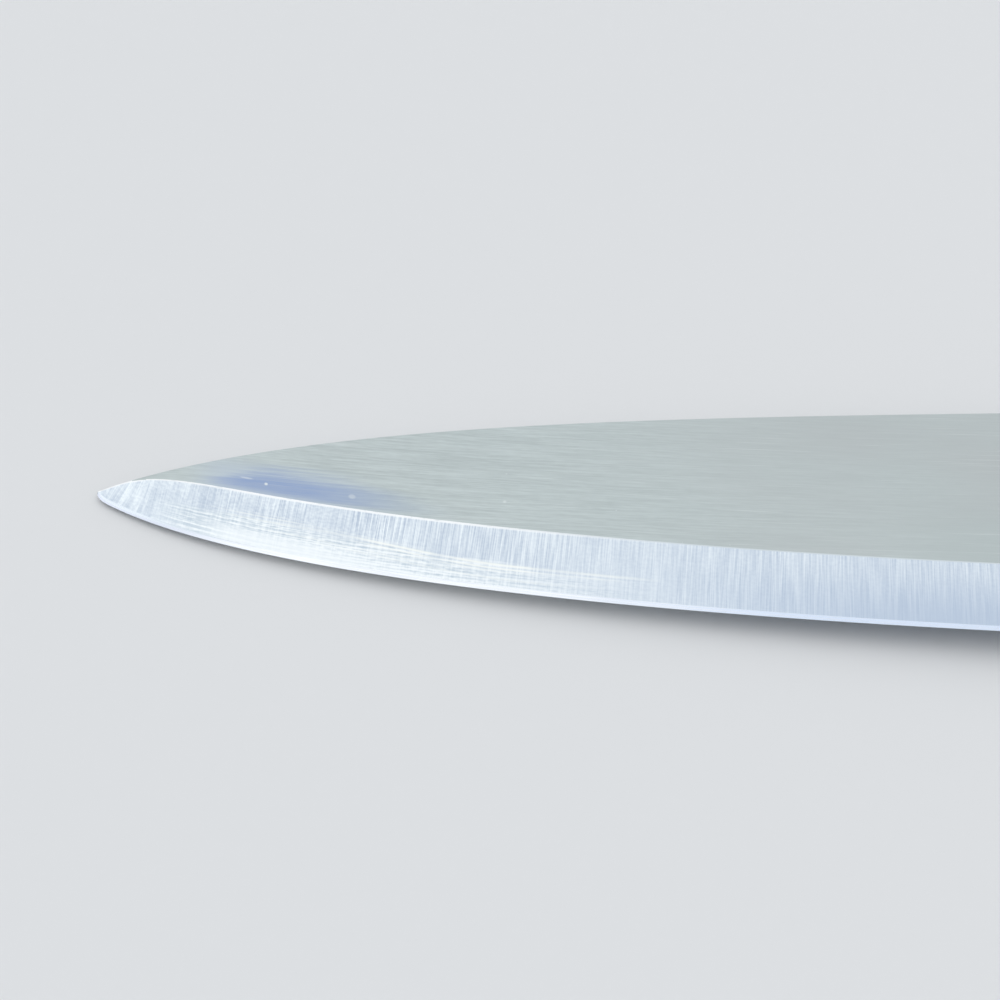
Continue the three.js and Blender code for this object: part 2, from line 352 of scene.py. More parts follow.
def makeDrawnLines():  # the marks of a belt or stone: noise drawn out along one direction
    group, given, result = newGroup("drawnLines", (
        ("Place", "NodeSocketVector", None), ("Frequency", "NodeSocketVector", (1, 1, 1)),
        ("Detail", "NodeSocketFloat", 3.0), ("Start", "NodeSocketFloat", 0.35),
        ("End", "NodeSocketFloat", 0.65),
    ), "Lines")
    stretched = addNode(group, "ShaderNodeVectorMath", operation="MULTIPLY")
    group.links.new(given["Place"], stretched.inputs[0])
    group.links.new(given["Frequency"], stretched.inputs[1])
    noise = addNode(group, "ShaderNodeTexNoise")
    group.links.new(stretched.outputs[0], noise.inputs["Vector"])
    noise.inputs["Scale"].default_value = 1.0
    group.links.new(given["Detail"], noise.inputs["Detail"])
    feed(group, ramp(group, noise.outputs["Fac"], given["Start"], given["End"]), result)
    return group


speckCore = 0.4  # a speck is full inside this share of its size


def makeSpecks():  # sparse round spots, each cell has one or none
    group, given, result = newGroup("specks", (
        ("Place", "NodeSocketVector", None), ("Spacing", "NodeSocketFloat", 2.0),
        ("Size", "NodeSocketFloat", 0.1), ("Share", "NodeSocketFloat", 0.3),
    ), "Specks")
    cells = addNode(group, "ShaderNodeTexVoronoi")
    group.links.new(given["Place"], cells.inputs["Vector"])
    group.links.new(calc(group, "DIVIDE", 1.0, given["Spacing"]), cells.inputs["Scale"])
    chance = partsOf(group, cells.outputs["Color"])
    present = calc(group, "LESS_THAN", chance[0], given["Share"])
    size = times(group, given["Size"], chance[1])
    spot = ramp(group, cells.outputs["Distance"], size, times(group, size, speckCore))
    feed(group, times(group, spot, present), result)
    return group


drawnLines = makeDrawnLines()
specks = makeSpecks()
print("shader groups made")


def lineSet(tree, place, setting):
    return useGroup(tree, drawnLines, place=place, **setting)


def lineSets(tree, place, look, *names):
    return [lineSet(tree, place, look[name]) for name in names]


# The looks below give frequencies in waves per millimetre, and start and end as noise values.
# Four numbers are a ramp (from, to, value before, value after), or in a reach a stretch
# (starts, full, full until, gone). Most run in millimetres, from the tip or from the line named.


# blade

bladeWork = dict(
    ridge=dict(width=0.0001, segments=3), choil=dict(width=0.00022, segments=3),
    ridgeStart=0.0062, ridgeEnd=0.2402,  # the ridge is rounded between these, from the tip on
    pointLength=0.0045,  # ahead of this the bevel reaches the spine
    pointGap=0.00005,  # the ridge's line starts this far behind the tip
    choilGap=0.0003,  # the choil's rim is rounded from this far above the ridge
    intoBolster=0.0005,  # and as far as this inside the bolster
    underside=0.2,  # its wall looks up less than this
    wall=0.9,  # faces that look sideways less than this are spine or choil
    lean=dict(flat=0.05, bevel=0.15, honed=0.5),  # the others lean towards the edge by less than these
    smoothAngle=1.2, roundWall=math.radians(40),  # walls that turn less than this look round
)
surfaceNames = ("flat", "ridge", "bevel", "honed", "spine")
faceStep = 50.0  # the two faces take their marks from places this far apart


def surfaceOf(face):
    return surfaceNames[face.material_index]


def bladeSurface(face):
    if abs(face.normal.z) < bladeWork["wall"]:
        return "spine"
    name = next(name for name, limit in bladeWork["lean"].items() if abs(face.normal.y) < limit)
    isPoint = face.center.x < tip.x + bladeWork["pointLength"]
    return "bevel" if name == "flat" and isPoint else name


def sortFaces(piece):
    for face in piece.data.polygons:
        face.material_index = surfaceNames.index(bladeSurface(face))


def isRidge(edge):
    meeting = {surfaceOf(face) for face in edge.link_faces}
    start, end = tip.x + bladeWork["ridgeStart"], tip.x + bladeWork["ridgeEnd"]
    return meeting == {"flat", "bevel"} and all(start < corner.co.x < end for corner in edge.verts)


def choilTest(heelTop):  # picks the rim behind the heel and under the neck, as far as the bolster
    lowest = heelTop + bladeWork["choilGap"]
    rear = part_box("bolster_left")[0][0] + bladeWork["intoBolster"]

    def isChoilRim(edge):
        meeting = {surfaceOf(face): face.normal for face in edge.link_faces}
        isInReach = all(corner.co.x < rear and corner.co.y > lowest for corner in edge.verts)
        return set(meeting) == {"flat", "spine"} and meeting["spine"].y < bladeWork["underside"] and isInReach
    return isChoilRim


def isRoundWall(edge):
    names = [surfaceOf(face) for face in edge.link_faces]
    return names == ["spine", "spine"] and edge.calc_face_angle() < bladeWork["roundWall"]


def bladeLine(piece, above, below):  # the line where two of the left face's surfaces meet, from tip to heel
    corners = {name: set() for name in surfaceNames}
    for face in piece.data.polygons:
        corners[surfaceOf(face)].update(face.vertices)
    shared = [piece.data.vertices[index].co for index in corners[above] & corners[below]]
    return np.array(sorted((place.x, place.y) for place in shared if (place - middle).dot(leftFlat) > 0))


def ridgeLineOf(piece):  # at the point it goes on along the spine
    ridge = bladeLine(piece, "flat", "bevel")
    spine = bladeLine(piece, "spine", "bevel")
    isAhead = (spine[:, 0] > tip.x + bladeWork["pointGap"]) & (spine[:, 0] < ridge[0, 0])
    return np.concatenate([spine[isAhead], ridge])


def measureFrom(line, places):  # how far along a line each place is, and how far above it
    start, step = line[:-1], np.diff(line, axis=0)
    length = np.linalg.norm(step, axis=1)
    offset = places[:, None] - start
    share = np.clip((offset * step).sum(2) / length**2, 0, 1)
    miss = offset - share[..., None] * step
    rows, nearest = np.arange(len(places)), np.linalg.norm(miss, axis=2).argmin(1)
    miss, step = miss[rows, nearest], step[nearest]
    side = np.sign(step[:, 0] * miss[:, 1] - step[:, 1] * miss[:, 0])
    before = np.concatenate([[0], np.cumsum(length)])[nearest]
    return before + share[rows, nearest] * length[nearest], side * np.linalg.norm(miss, axis=1)


def addLineMap(piece, name, line):  # a UV map in millimetres: along the line, and above it
    places = np.array([corner.co for corner in piece.data.vertices])[:, :2]
    pairs = np.stack(measureFrom(line, places), 1) * mmPerMetre
    order = np.array([loop.vertex_index for loop in piece.data.loops])
    piece.data.uv_layers.new(name=name).data.foreach_set("uv", pairs[order].astype(np.float32).ravel())


blueReflectionLook = dict(  # painted reflection: the blue patch behind the tip, a blue reflection painted into the steel
    blue=(0.325, 0.415, 0.612), haze=(0.538, 0.606, 0.672), fleck=(0.80, 0.83, 0.82),
    bandLift=0.9, hairLift=0.7,  # how far the lines pull its upper end up and down
    topRise=(11.0, 26.0, 0.9, 5.6), topFall=(33.0, 52.0, 0.0, 2.4),
    fadeFrom=0.46, fadeTo=1.16,  # shares of the top
    offRidge=(0.1, 1.3, 0.30, 1.0), reach=(11.5, 21.0, 26.0, 52.0), onTone=(0.0, 1.0, 1.0, 0.76),
    hazeReach=(11.0, 18.5, 24.0, 44.0), hazeAbove=(3.0, 7.5, 0.8, 0.0),
    flecks=(  # along, above the ridge, half length, half height, strength
        (23.7, 2.1, 0.32, 0.32, 0.9), (35.9, 2.3, 0.65, 0.55, 0.38), (20.8, 2.6, 1.2, 0.22, 0.45),
    ),
    fleckCore=0.1,
)


# painted reflection: a blue patch with a pale lilac haze and pale flecks, painted onto the flat behind the
# tip
def paintedBlueReflection(tree, colour, along, above, side, band, hair, tone):
    lift = swing(tree, above, band, blueReflectionLook["bandLift"])
    lift = swing(tree, lift, hair, blueReflectionLook["hairLift"])
    top = minus(tree, ramp(tree, along, *blueReflectionLook["topRise"]), ramp(tree, along, *blueReflectionLook["topFall"]))
    fadeFrom, fadeTo = (times(tree, top, blueReflectionLook[name]) for name in ("fadeFrom", "fadeTo"))
    blueReflection = times(
        tree, ramp(tree, lift, fadeFrom, fadeTo, 1.0, 0.0), ramp(tree, above, *blueReflectionLook["offRidge"]),
        stretch(tree, along, *blueReflectionLook["reach"]), side)
    haze = times(tree, stretch(tree, along, *blueReflectionLook["hazeReach"]), ramp(tree, lift, *blueReflectionLook["hazeAbove"]))
    colour = mixColour(tree, haze, colour, blueReflectionLook["haze"])
    blueReflection = times(tree, blueReflection, ramp(tree, tone, *blueReflectionLook["onTone"]))
    colour = mixColour(tree, blueReflection, colour, blueReflectionLook["blue"])
    for spotAlong, spotAbove, halfLength, halfHeight, strength in blueReflectionLook["flecks"]:
        aside = calc(tree, "DIVIDE", plus(tree, along, -spotAlong), halfLength)
        over = calc(tree, "DIVIDE", plus(tree, above, -spotAbove), halfHeight)
        away = squares(tree, aside, over)
        fleck = times(tree, ramp(tree, away, blueReflectionLook["fleckCore"], 1.0, strength, 0.0), side)
        colour = mixColour(tree, fleck, colour, blueReflectionLook["fleck"])
    return colour


flatLook = dict(
    pale=(0.615, 0.676, 0.669), dark=(0.470, 0.524, 0.517), warm=(0.505, 0.530, 0.528),
    scratch=(0.80, 0.83, 0.82), roughness=(0.36, 0.46), markDepth=0.004,
    followRidge=0.6, followSpine=0.4,  # the lines fan out a little
    hair=dict(frequency=(0.11, 2.8, 1), detail=3, start=0.30, end=0.70),
    short=dict(frequency=(0.55, 3.6, 3), detail=2, start=0.30, end=0.70),
    band=dict(frequency=(0.03, 0.5, 1), detail=3, start=0.30, end=0.70),
    toneShares=(0.55, 0.25, 0.20), contrast=(25.0, 120.0, 1.35, 0.60),
    cloud=dict(frequency=(0.03, 0.06, 1), detail=1, start=0.30, end=0.70),
    warmLeast=0.4, warmAlong=(60.0, 125.0, 0.10, 1.0), warmShare=0.6,
    duskAlong=(104.0, 124.0, 0.0, 0.45), duskAbove=(3.0, 15.0, 1.0, 0.0),  # painted shade: darker low at the rear
    scratches=dict(frequency=(0.07, 3.4, 2), detail=1, start=0.60, end=0.78), scratchShare=0.22,
    dots=dict(spacing=3.0, size=0.16, share=0.14), dotShare=0.75,
    ticks=dict(frequency=(1.6, 1, 1), detail=1, start=0.66, end=0.72),  # where the grind ran past the ridge
    tickAbove=(0.2, 0.7, 1.0, 0.0), tickReach=(62.0, 80.0, 96.0, 112.0),
)


def satinFlat():
    material, tree, shader = newMaterial("satinFlat", 1)
    above = mapOf(tree, "fromRidge")[1]
    knife = knifePlace(tree)
    along, height, out = partsOf(tree, knife)
    side = isLeft(tree, out)
    face = times(tree, side, faceStep)
    level = weighted(tree, (above, height), (flatLook["followRidge"], flatLook["followSpine"]))
    place = vectorOf(tree, along, level, face)
    hair, short, band = lineSets(tree, place, flatLook, "hair", "short", "band")
    cloud, scratches = lineSets(tree, place, flatLook, "cloud", "scratches")
    tone = weighted(tree, (hair, short, band), flatLook["toneShares"])
    tone = swing(tree, midTone, tone, ramp(tree, along, *flatLook["contrast"]))
    colour = mixColour(tree, tone, flatLook["dark"], flatLook["pale"])
    # painted reflection: the flat turns darker and warmer towards the rear, in clouds
    warmAlong = ramp(tree, along, *flatLook["warmAlong"])
    warm = times(tree, plus(tree, cloud, flatLook["warmLeast"]), warmAlong, flatLook["warmShare"])
    colour = mixColour(tree, warm, colour, flatLook["warm"])
    dusk = times(tree, ramp(tree, along, *flatLook["duskAlong"]), ramp(tree, above, *flatLook["duskAbove"]))
    colour = mixColour(tree, dusk, colour, flatLook["dark"])
    colour = paintedBlueReflection(tree, colour, along, above, side, band, hair, tone)
    colour = mixColour(tree, times(tree, scratches, flatLook["scratchShare"]), colour, flatLook["scratch"])
    dots = useGroup(tree, specks, place=knife, **flatLook["dots"])
    ticks = lineSet(tree, vectorOf(tree, along, 0.0, face), flatLook["ticks"])
    tickAbove = ramp(tree, above, *flatLook["tickAbove"])
    ticks = times(tree, ticks, tickAbove, stretch(tree, along, *flatLook["tickReach"]))
    bare = times(tree, plus(tree, dots, ticks), flatLook["dotShare"])
    colour = mixColour(tree, bare, colour, flatLook["scratch"])
    wireShader(tree, shader, flatLook, colour, tone, hair)
    return material


ridgeLook = dict(
    bright=(0.97, 0.98, 0.98), plain=(0.61, 0.67, 0.70), roughness=0.3,
    glintLines=dict(frequency=(0.6, 1, 1), detail=3, start=0.2, end=0.5),
    fade=(45.0, 88.0), glintShare=(1.0, 0.1), besideShare=(0.9, 0.0),  # before the fade and after it
    besideStart=(6.0, 26.0, 0.15, 1.0), besideBelow=(0.16, 0.42, 1.0, 0.0),
    pointAlong=(5.8, 7.2, 0.9, 0.0), pointBelow=(0.12, 0.28, 1.0, 0.0),
)


def brightRidge():
    material, tree, shader = newMaterial("brightRidge", 1)
    along = mapOf(tree, "fromRidge")[0]
    glintLines = lineSet(tree, vectorOf(tree, along, 0.0), ridgeLook["glintLines"])
    # painted highlight: the ridge strip is painted near white towards the tip, broken by lines, and plain
    # towards the rear
    bright = times(tree, ramp(tree, along, *ridgeLook["fade"], *ridgeLook["glintShare"]), glintLines)
    colour = mixColour(tree, bright, ridgeLook["plain"], ridgeLook["bright"])
    feed(tree, colour, shader.inputs["Base Color"])
    shader.inputs["Roughness"].default_value = ridgeLook["roughness"]
    return material


def besideRidge(tree, along, below):  # painted highlight: the bevel is painted bright beside the ridge, and along the point
    beside = times(
        tree, ramp(tree, along, *ridgeLook["fade"], *ridgeLook["besideShare"]),
        ramp(tree, along, *ridgeLook["besideStart"]), ramp(tree, below, *ridgeLook["besideBelow"]))
    point = times(
        tree, ramp(tree, along, *ridgeLook["pointAlong"]), ramp(tree, below, *ridgeLook["pointBelow"]))
    return calc(tree, "MAXIMUM", beside, point)


stoneLook = dict(
    pale=(0.945, 0.978, 0.980), dark=(0.540, 0.625, 0.690), line=(0.965, 0.975, 0.925),
    top=(28.0, 58.0, 0.61, 0.44),  # share of the bevel: the stone reached higher towards the tip
    topWander=0.10, topRim=(-0.03, 0.14), reach=(7.0, 15.0, 44.0, 84.0), share=0.85,
    bevelWidth=11.0,
    rows=dict(frequency=(0.035, 3.0, 1), detail=4, start=0.30, end=0.70), lighter=(14.0, 34.0, 0.0, 0.16),
    mottle=dict(frequency=(0.9, 2.2, 1), detail=4, start=0.30, end=0.70), mottleAmount=0.62, cutAmount=0.24,
    whiteTop=(22.0, 42.0, 0.42, 0.30), whiteRim=0.18, whiteReach=(13.0, 20.0, 30.0, 50.0), whiteShare=0.8,
    scratches=(  # share of the bevel below the top, half width as a share, strength, start and end
        (0.045, 0.034, 0.85, 24.0, 80.0), (0.105, 0.026, 0.75, 30.0, 76.0), (0.150, 0.020, 0.55, 34.0, 66.0),
        (0.000, 0.022, 0.55, 10.0, 46.0), (0.070, 0.018, 0.55, 12.0, 42.0), (0.215, 0.020, 0.45, 20.0, 56.0),
        (-0.045, 0.014, 0.35, 14.0, 40.0), (0.265, 0.024, 0.40, 26.0, 72.0),
    ),
    scratchIn=12.0, scratchOut=14.0, scratchCloud=(0.0, 0.7, 0.4, 1.0),
)


def stoneMarks(tree, colour, along, share, face, cut, cloud):  # lengthwise marks low on the bevel
    top = ramp(tree, along, *stoneLook["top"])
    place = vectorOf(tree, along, times(tree, share, stoneLook["bevelWidth"]), face)
    rows, mottle = lineSets(tree, place, stoneLook, "rows", "mottle")
    tone = plus(tree, rows, ramp(tree, along, *stoneLook["lighter"]))
    tone = swing(tree, tone, cut, stoneLook["cutAmount"])
    tone = swing(tree, tone, mottle, stoneLook["mottleAmount"])
    stoned = mixColour(tree, tone, stoneLook["dark"], stoneLook["pale"])
    whiteDepth = minus(tree, ramp(tree, along, *stoneLook["whiteTop"]), share)
    white = ramp(tree, whiteDepth, 0.0, stoneLook["whiteRim"])
    white = times(tree, white, stretch(tree, along, *stoneLook["whiteReach"]), stoneLook["whiteShare"])
    stoned = mixColour(tree, white, stoned, stoneLook["pale"])
    depth = minus(tree, swing(tree, top, cloud, stoneLook["topWander"]), share)
    reached = ramp(tree, depth, *stoneLook["topRim"])
    reached = times(tree, reached, stretch(tree, along, *stoneLook["reach"]), stoneLook["share"])
    colour = mixColour(tree, reached, colour, stoned)
    rubbed = 0.0
    for drop, width, strength, start, end in stoneLook["scratches"]:
        scratch = nearTo(tree, share, minus(tree, top, drop), width)
        kept = stretch(tree, along, start, start + stoneLook["scratchIn"], end - stoneLook["scratchOut"], end)
        rubbed = addShare(tree, rubbed, times(tree, scratch, kept), strength)
    rubbed = times(tree, rubbed, ramp(tree, cloud, *stoneLook["scratchCloud"]))
    return mixColour(tree, rubbed, colour, stoneLook["line"])


bevelLook = dict(
    pale=(0.885, 0.940, 0.965), dark=(0.497, 0.572, 0.672), shade=(0.474, 0.557, 0.680),
    heelPale=(0.715, 0.750, 0.775), heelDark=(0.500, 0.535, 0.570), roughness=(0.30, 0.40), markDepth=0.005,
    lean=(3.0, 10.0, -0.40, -0.085),  # cut nearly square to the knife, and in a fan at the tip
    cut=dict(frequency=(2.8, 0.10, 1), detail=1, start=0.36, end=0.66),
    fine=dict(frequency=(6.5, 0.15, 1), detail=1, start=0.34, end=0.66),
    broad=dict(frequency=(0.45, 0.07, 1), detail=1, start=0.30, end=0.70),
    toneShares=(0.42, 0.48, 0.10),
    depth=(74.0, 96.0, 0.48, 0.76), keenReach=(32.0, 50.0, 58.0, 74.0), keenDepth=0.48,  # deepest midway
    cluster=dict(frequency=(0.22, 0.03, 1), detail=1, start=0.48, end=0.62),
    clusterReach=(11.0, 17.0, 38.0, 50.0), clusterDepth=0.55,
    lowDepth=(62.0, 90.0, 0.55, 1.25), lowShare=(0.10, 0.75),  # to the rear the lines run down to the edge
    cloud=dict(frequency=(0.10, 0.25, 1), detail=3, start=0.30, end=0.70),
    grain=dict(frequency=(1.7, 2.2, 1), detail=3, start=0.30, end=0.70),
    fan=dict(frequency=(1.7, 0.08, 1), detail=1, start=0.42, end=0.62),
    cloudAmount=(12.0, 32.0, 0.26, 0.08), grainAmount=(30.0, 50.0, 0.30, 0.14),
    fanReach=(0.5, 2.0, 6.5, 10.0), fanAmount=0.34, broadAmount=(12.0, 24.0, 0.20, 0.0),
    shadeAlong=(62.0, 115.0), shadeShare=(0.10, 0.95, 0.80, 0.20), heelAlong=(126.0, 210.0, 0.0, 0.8),
    thinnest=0.01,  # keeps the share finite where edge and ridge meet
)


def cutLines(tree, along, across, share, face):  # how pale the cut lines are, then the lines and clouds alone
    cutAlong = addShare(tree, along, across, ramp(tree, along, *bevelLook["lean"]))
    place = vectorOf(tree, cutAlong, across, face)
    cut, fine, broad, cluster = lineSets(tree, place, bevelLook, "cut", "fine", "broad", "cluster")
    cloud, grain, fan = lineSets(tree, place, bevelLook, "cloud", "grain", "fan")
    keen = times(tree, stretch(tree, along, *bevelLook["keenReach"]), bevelLook["keenDepth"])
    clusterReach = stretch(tree, along, *bevelLook["clusterReach"])
    cluster = times(tree, cluster, clusterReach, bevelLook["clusterDepth"])
    depth = plus(tree, keen, ramp(tree, along, *bevelLook["depth"]), cluster)
    low = ramp(tree, along, *bevelLook["lowDepth"])
    depth = times(tree, depth, ramp(tree, share, *bevelLook["lowShare"], low, 1.0))
    tone = swing(tree, midTone, weighted(tree, (cut, fine, broad), bevelLook["toneShares"]), depth)
    tone = swing(tree, tone, cloud, ramp(tree, along, *bevelLook["cloudAmount"]))
    tone = swing(tree, tone, grain, ramp(tree, along, *bevelLook["grainAmount"]))
    fanAmount = times(tree, stretch(tree, along, *bevelLook["fanReach"]), bevelLook["fanAmount"])
    tone = swing(tree, tone, fan, fanAmount)
    tone = swing(tree, tone, broad, ramp(tree, along, *bevelLook["broadAmount"]))
    return tone, cut, cloud


def groundBevel():
    material, tree, shader = newMaterial("groundBevel", 1)
    across = mapOf(tree, "fromEdge")[1]
    below = times(tree, mapOf(tree, "fromRidge")[1], -1.0)
    knife = partsOf(tree, knifePlace(tree))
    along = knife[0]
    face = times(tree, isLeft(tree, knife[2]), faceStep)
    width = plus(tree, across, below, bevelLook["thinnest"])
    share = calc(tree, "DIVIDE", across, width)  # 0 at the edge, 1 at the ridge
    tone, cut, cloud = cutLines(tree, along, across, share, face)
    colour = mixColour(tree, tone, bevelLook["dark"], bevelLook["pale"])
    # painted shade: the bevel turns darker and bluer low at the rear
    shade = times(
        tree, ramp(tree, along, *bevelLook["shadeAlong"]), ramp(tree, share, *bevelLook["shadeShare"]))
    colour = mixColour(tree, shade, colour, bevelLook["shade"])
    heel = mixColour(tree, tone, bevelLook["heelDark"], bevelLook["heelPale"])
    colour = mixColour(tree, ramp(tree, along, *bevelLook["heelAlong"]), colour, heel)
    colour = stoneMarks(tree, colour, along, share, face, cut, cloud)
    # painted highlight beside the ridge and along the point
    colour = mixColour(tree, besideRidge(tree, along, below), colour, ridgeLook["bright"])
    wireShader(tree, shader, bevelLook, colour, tone, cut)
    return material


honedLook = dict(
    pale=(0.93, 0.95, 0.975), dark=(0.80, 0.83, 0.88), plain=(0.60, 0.65, 0.70), roughness=(0.22, 0.30),
    fine=dict(frequency=(0.10, 5.0, 1), detail=2, start=0.25, end=0.75),
    tints=(  # colour, and where it comes in along the edge
        ((0.66, 0.735, 0.855), (60.0, 104.0, 0.0, 0.95)),
        ((0.62, 0.67, 0.735), (126.0, 220.0, 0.0, 0.9)),
        ((0.54, 0.575, 0.655), (9.0, 30.0, 0.95, 0.0)),
    ),
    width=(4.0, 34.0, 0.26, 0.80), rim=(-0.06, 0.08),  # honed less at the tip
)


def honedEdge():
    material, tree, shader = newMaterial("honedEdge", 1)
    along, across = mapOf(tree, "fromEdge")
    fine = lineSet(tree, vectorOf(tree, along, across), honedLook["fine"])
    colour = mixColour(tree, fine, honedLook["dark"], honedLook["pale"])
    for tint, reach in honedLook["tints"]:
        colour = mixColour(tree, ramp(tree, along, *reach), colour, tint)
    beyond = minus(tree, across, ramp(tree, along, *honedLook["width"]))
    colour = mixColour(tree, ramp(tree, beyond, *honedLook["rim"]), colour, honedLook["plain"])
    wireShader(tree, shader, honedLook, colour, fine)
    return material


spineLook = dict(
    pale=(0.66, 0.71, 0.72), dark=(0.52, 0.57, 0.58), roughness=(0.28, 0.40), markDepth=0.004,
    fine=dict(frequency=(0.07, 0.07, 4.0), detail=3, start=0.30, end=0.70),
)


def spineSteel():
    material, tree, shader = newMaterial("spineSteel", 1)
    fine = lineSet(tree, knifePlace(tree), spineLook["fine"])
    colour = mixColour(tree, fine, spineLook["dark"], spineLook["pale"])
    wireShader(tree, shader, spineLook, colour, fine, fine)
    return material


def makeBlade():
    piece = copyNode("blade", "ground_blade")
    for finish in (satinFlat, brightRidge, groundBevel, honedEdge, spineSteel):  # as in surfaceNames
        piece.data.materials.append(finish())
    sortFaces(piece)
    edgeLine = bladeLine(piece, "honed", "spine")
    ridgeLine = ridgeLineOf(piece)
    easeEdges(piece, isRidge, slot=surfaceNames.index("ridge"), **bladeWork["ridge"])
    easeEdges(piece, choilTest(ridgeLine[-1, 1]), slot=surfaceNames.index("spine"), **bladeWork["choil"])
    addLineMap(piece, "fromEdge", edgeLine)
    addLineMap(piece, "fromRidge", ridgeLine)
    finishPiece(piece, "blade", bladeWork["smoothAngle"])
    smoothEdges(piece, isRoundWall)
    print("ground_blade eased:", len(piece.data.polygons), "faces")


makeBlade()


# handle

rivetNames = ("front", "middle", "rear")


def rivetSpots():  # place of each rivet's axis, and the radius of the heads, in millimetres
    boxes = [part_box(f"rivet_{name}_post") for name in rivetNames]
    middles = [(Vector(low) + Vector(high)) / 2 for low, high in boxes]
    return [knifeSpot(spot)[:2] for spot in middles], mmPerMetre / 2 * (boxes[0][1][1] - boxes[0][0][1])


farAway = 1000.0  # millimetres, further than any rivet


def makeBeyondRivet():  # millimetres outside the nearest rivet head, below 0 on the head
    group, given, result = newGroup("beyondRivet", (("Place", "NodeSocketVector", None),), "Beyond")
    along, height = partsOf(group, given["Place"])[:2]
    spots, radius = rivetSpots()
    nearest = farAway
    for spotAlong, spotHeight in spots:
        away = squares(group, minus(group, along, spotAlong), minus(group, height, spotHeight))
        nearest = calc(group, "MINIMUM", calc(group, "SQRT", away), nearest)
    feed(group, minus(group, nearest, radius), result)
    return group


beyondRivet = makeBeyondRivet()

bolsterLook = dict(
    pale=(0.70, 0.715, 0.72), dark=(0.54, 0.555, 0.565), scratch=(0.86, 0.87, 0.87), grime=(0.30, 0.29, 0.28),
    roughness=(0.24, 0.36), markDepth=0.003,
    fine=dict(frequency=(5.0, 0.04, 0.04), detail=2, start=0.30, end=0.70),
    broad=dict(frequency=(0.9, 0.03, 0.03), detail=1, start=0.30, end=0.70),
    scratches=dict(frequency=(0.12, 4.5, 0.5), detail=1, start=0.70, end=0.78),
    smudge=dict(frequency=(0.12, 0.10, 0.10), detail=2, start=0.35, end=0.65),
    toneShares=(0.65, 0.35), scratchSlant=0.7, scratchShare=0.3, dullShares=(0.7, 0.3),
    jointWidth=0.35, grimeLeast=0.3, grimeShare=0.5,
)


def satinBolster():
    material, tree, shader = newMaterial("satinBolster", 1)
    place = knifePlace(tree)
    along, height, out = partsOf(tree, place)
    fine, broad, smudge = lineSets(tree, place, bolsterLook, "fine", "broad", "smudge")
    slant = bolsterLook["scratchSlant"]
    slantAlong = plus(tree, along, times(tree, height, slant))
    slantUp = plus(tree, height, times(tree, along, -slant))
    scratches = lineSet(tree, vectorOf(tree, slantAlong, slantUp, out), bolsterLook["scratches"])
    tone = weighted(tree, (fine, broad), bolsterLook["toneShares"])
    colour = mixColour(tree, tone, bolsterLook["dark"], bolsterLook["pale"])
    scratches = times(tree, scratches, bolsterLook["scratchShare"])
    colour = mixColour(tree, scratches, colour, bolsterLook["scratch"])
    rear = knifeSpot(Vector(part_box("scale_left")[0]))[0]  # where the wood starts
    joint = nearTo(tree, along, rear, bolsterLook["jointWidth"])
    grime = times(tree, joint, plus(tree, smudge, bolsterLook["grimeLeast"]), bolsterLook["grimeShare"])
    colour = mixColour(tree, grime, colour, bolsterLook["grime"])
    dull = weighted(tree, (tone, smudge), bolsterLook["dullShares"])
    wireShader(tree, shader, bolsterLook, colour, dull, fine)
    return material


rivetLook = dict(
    pale=(0.76, 0.745, 0.70), dark=(0.58, 0.57, 0.535), rim=(0.34, 0.32, 0.29),
    rimFade=(-0.22, 0.0, 0.0, 0.6), roughness=(0.24, 0.36), markDepth=0.003,
    fine=dict(frequency=(0.05, 4.5, 0.05), detail=2, start=0.30, end=0.70),
    broad=dict(frequency=(0.08, 0.9, 0.05), detail=1, start=0.30, end=0.70),
    toneShares=(0.7, 0.3),
)


def brushedRivet():
    material, tree, shader = newMaterial("brushedRivet", 1)
    place = knifePlace(tree)
    fine, broad = lineSets(tree, place, rivetLook, "fine", "broad")
    tone = weighted(tree, (fine, broad), rivetLook["toneShares"])
    colour = mixColour(tree, tone, rivetLook["dark"], rivetLook["pale"])
    rim = ramp(tree, useGroup(tree, beyondRivet, place=place), *rivetLook["rimFade"])
    colour = mixColour(tree, rim, colour, rivetLook["rim"])
    wireShader(tree, shader, rivetLook, colour, tone, fine)
    return material


woodLook = dict(
    base=(0.150, 0.064, 0.036), pale=(0.250, 0.120, 0.068), late=(0.052, 0.021, 0.013),
    pore=(0.016, 0.007, 0.005), roughness=(0.34, 0.50), markDepth=0.03, coat=0.12, coatRoughness=0.22,
    plankAlong=170.0, plankUp=31.0,  # the two scales are two stretches of one plank, this far apart
    pithHeight=-64.0, pithOut=-46.0, pithTilt=0.045, ringSpacing=2.6, ringWander=4.0,
    wander=dict(frequency=(0.012, 0.06, 0.06), detail=3, start=0.15, end=0.85),
    fibre=dict(frequency=(0.05, 2.4, 2.4), detail=4, start=0.30, end=0.70),
    streak=dict(frequency=(0.009, 0.15, 0.15), detail=3, start=0.46, end=0.72), streakShare=0.75,
    pores=dict(frequency=(0.22, 4.2, 4.2), detail=1, start=0.62, end=0.70), poreShare=0.85,
    lateStart=(0.25, 0.90), lateEnd=(0.93, 1.0, 1.0, 0.0), lateShare=0.72,  # a ring darkens, then starts anew
    rivetStain=(0.0, 0.55, 0.7, 0.0), tangStain=(1.3, 1.7, 0.6, 0.0),  # oil gathers along the joints
    dullShares=(0.4, 0.4, 0.2), fibreHeight=0.15,
)


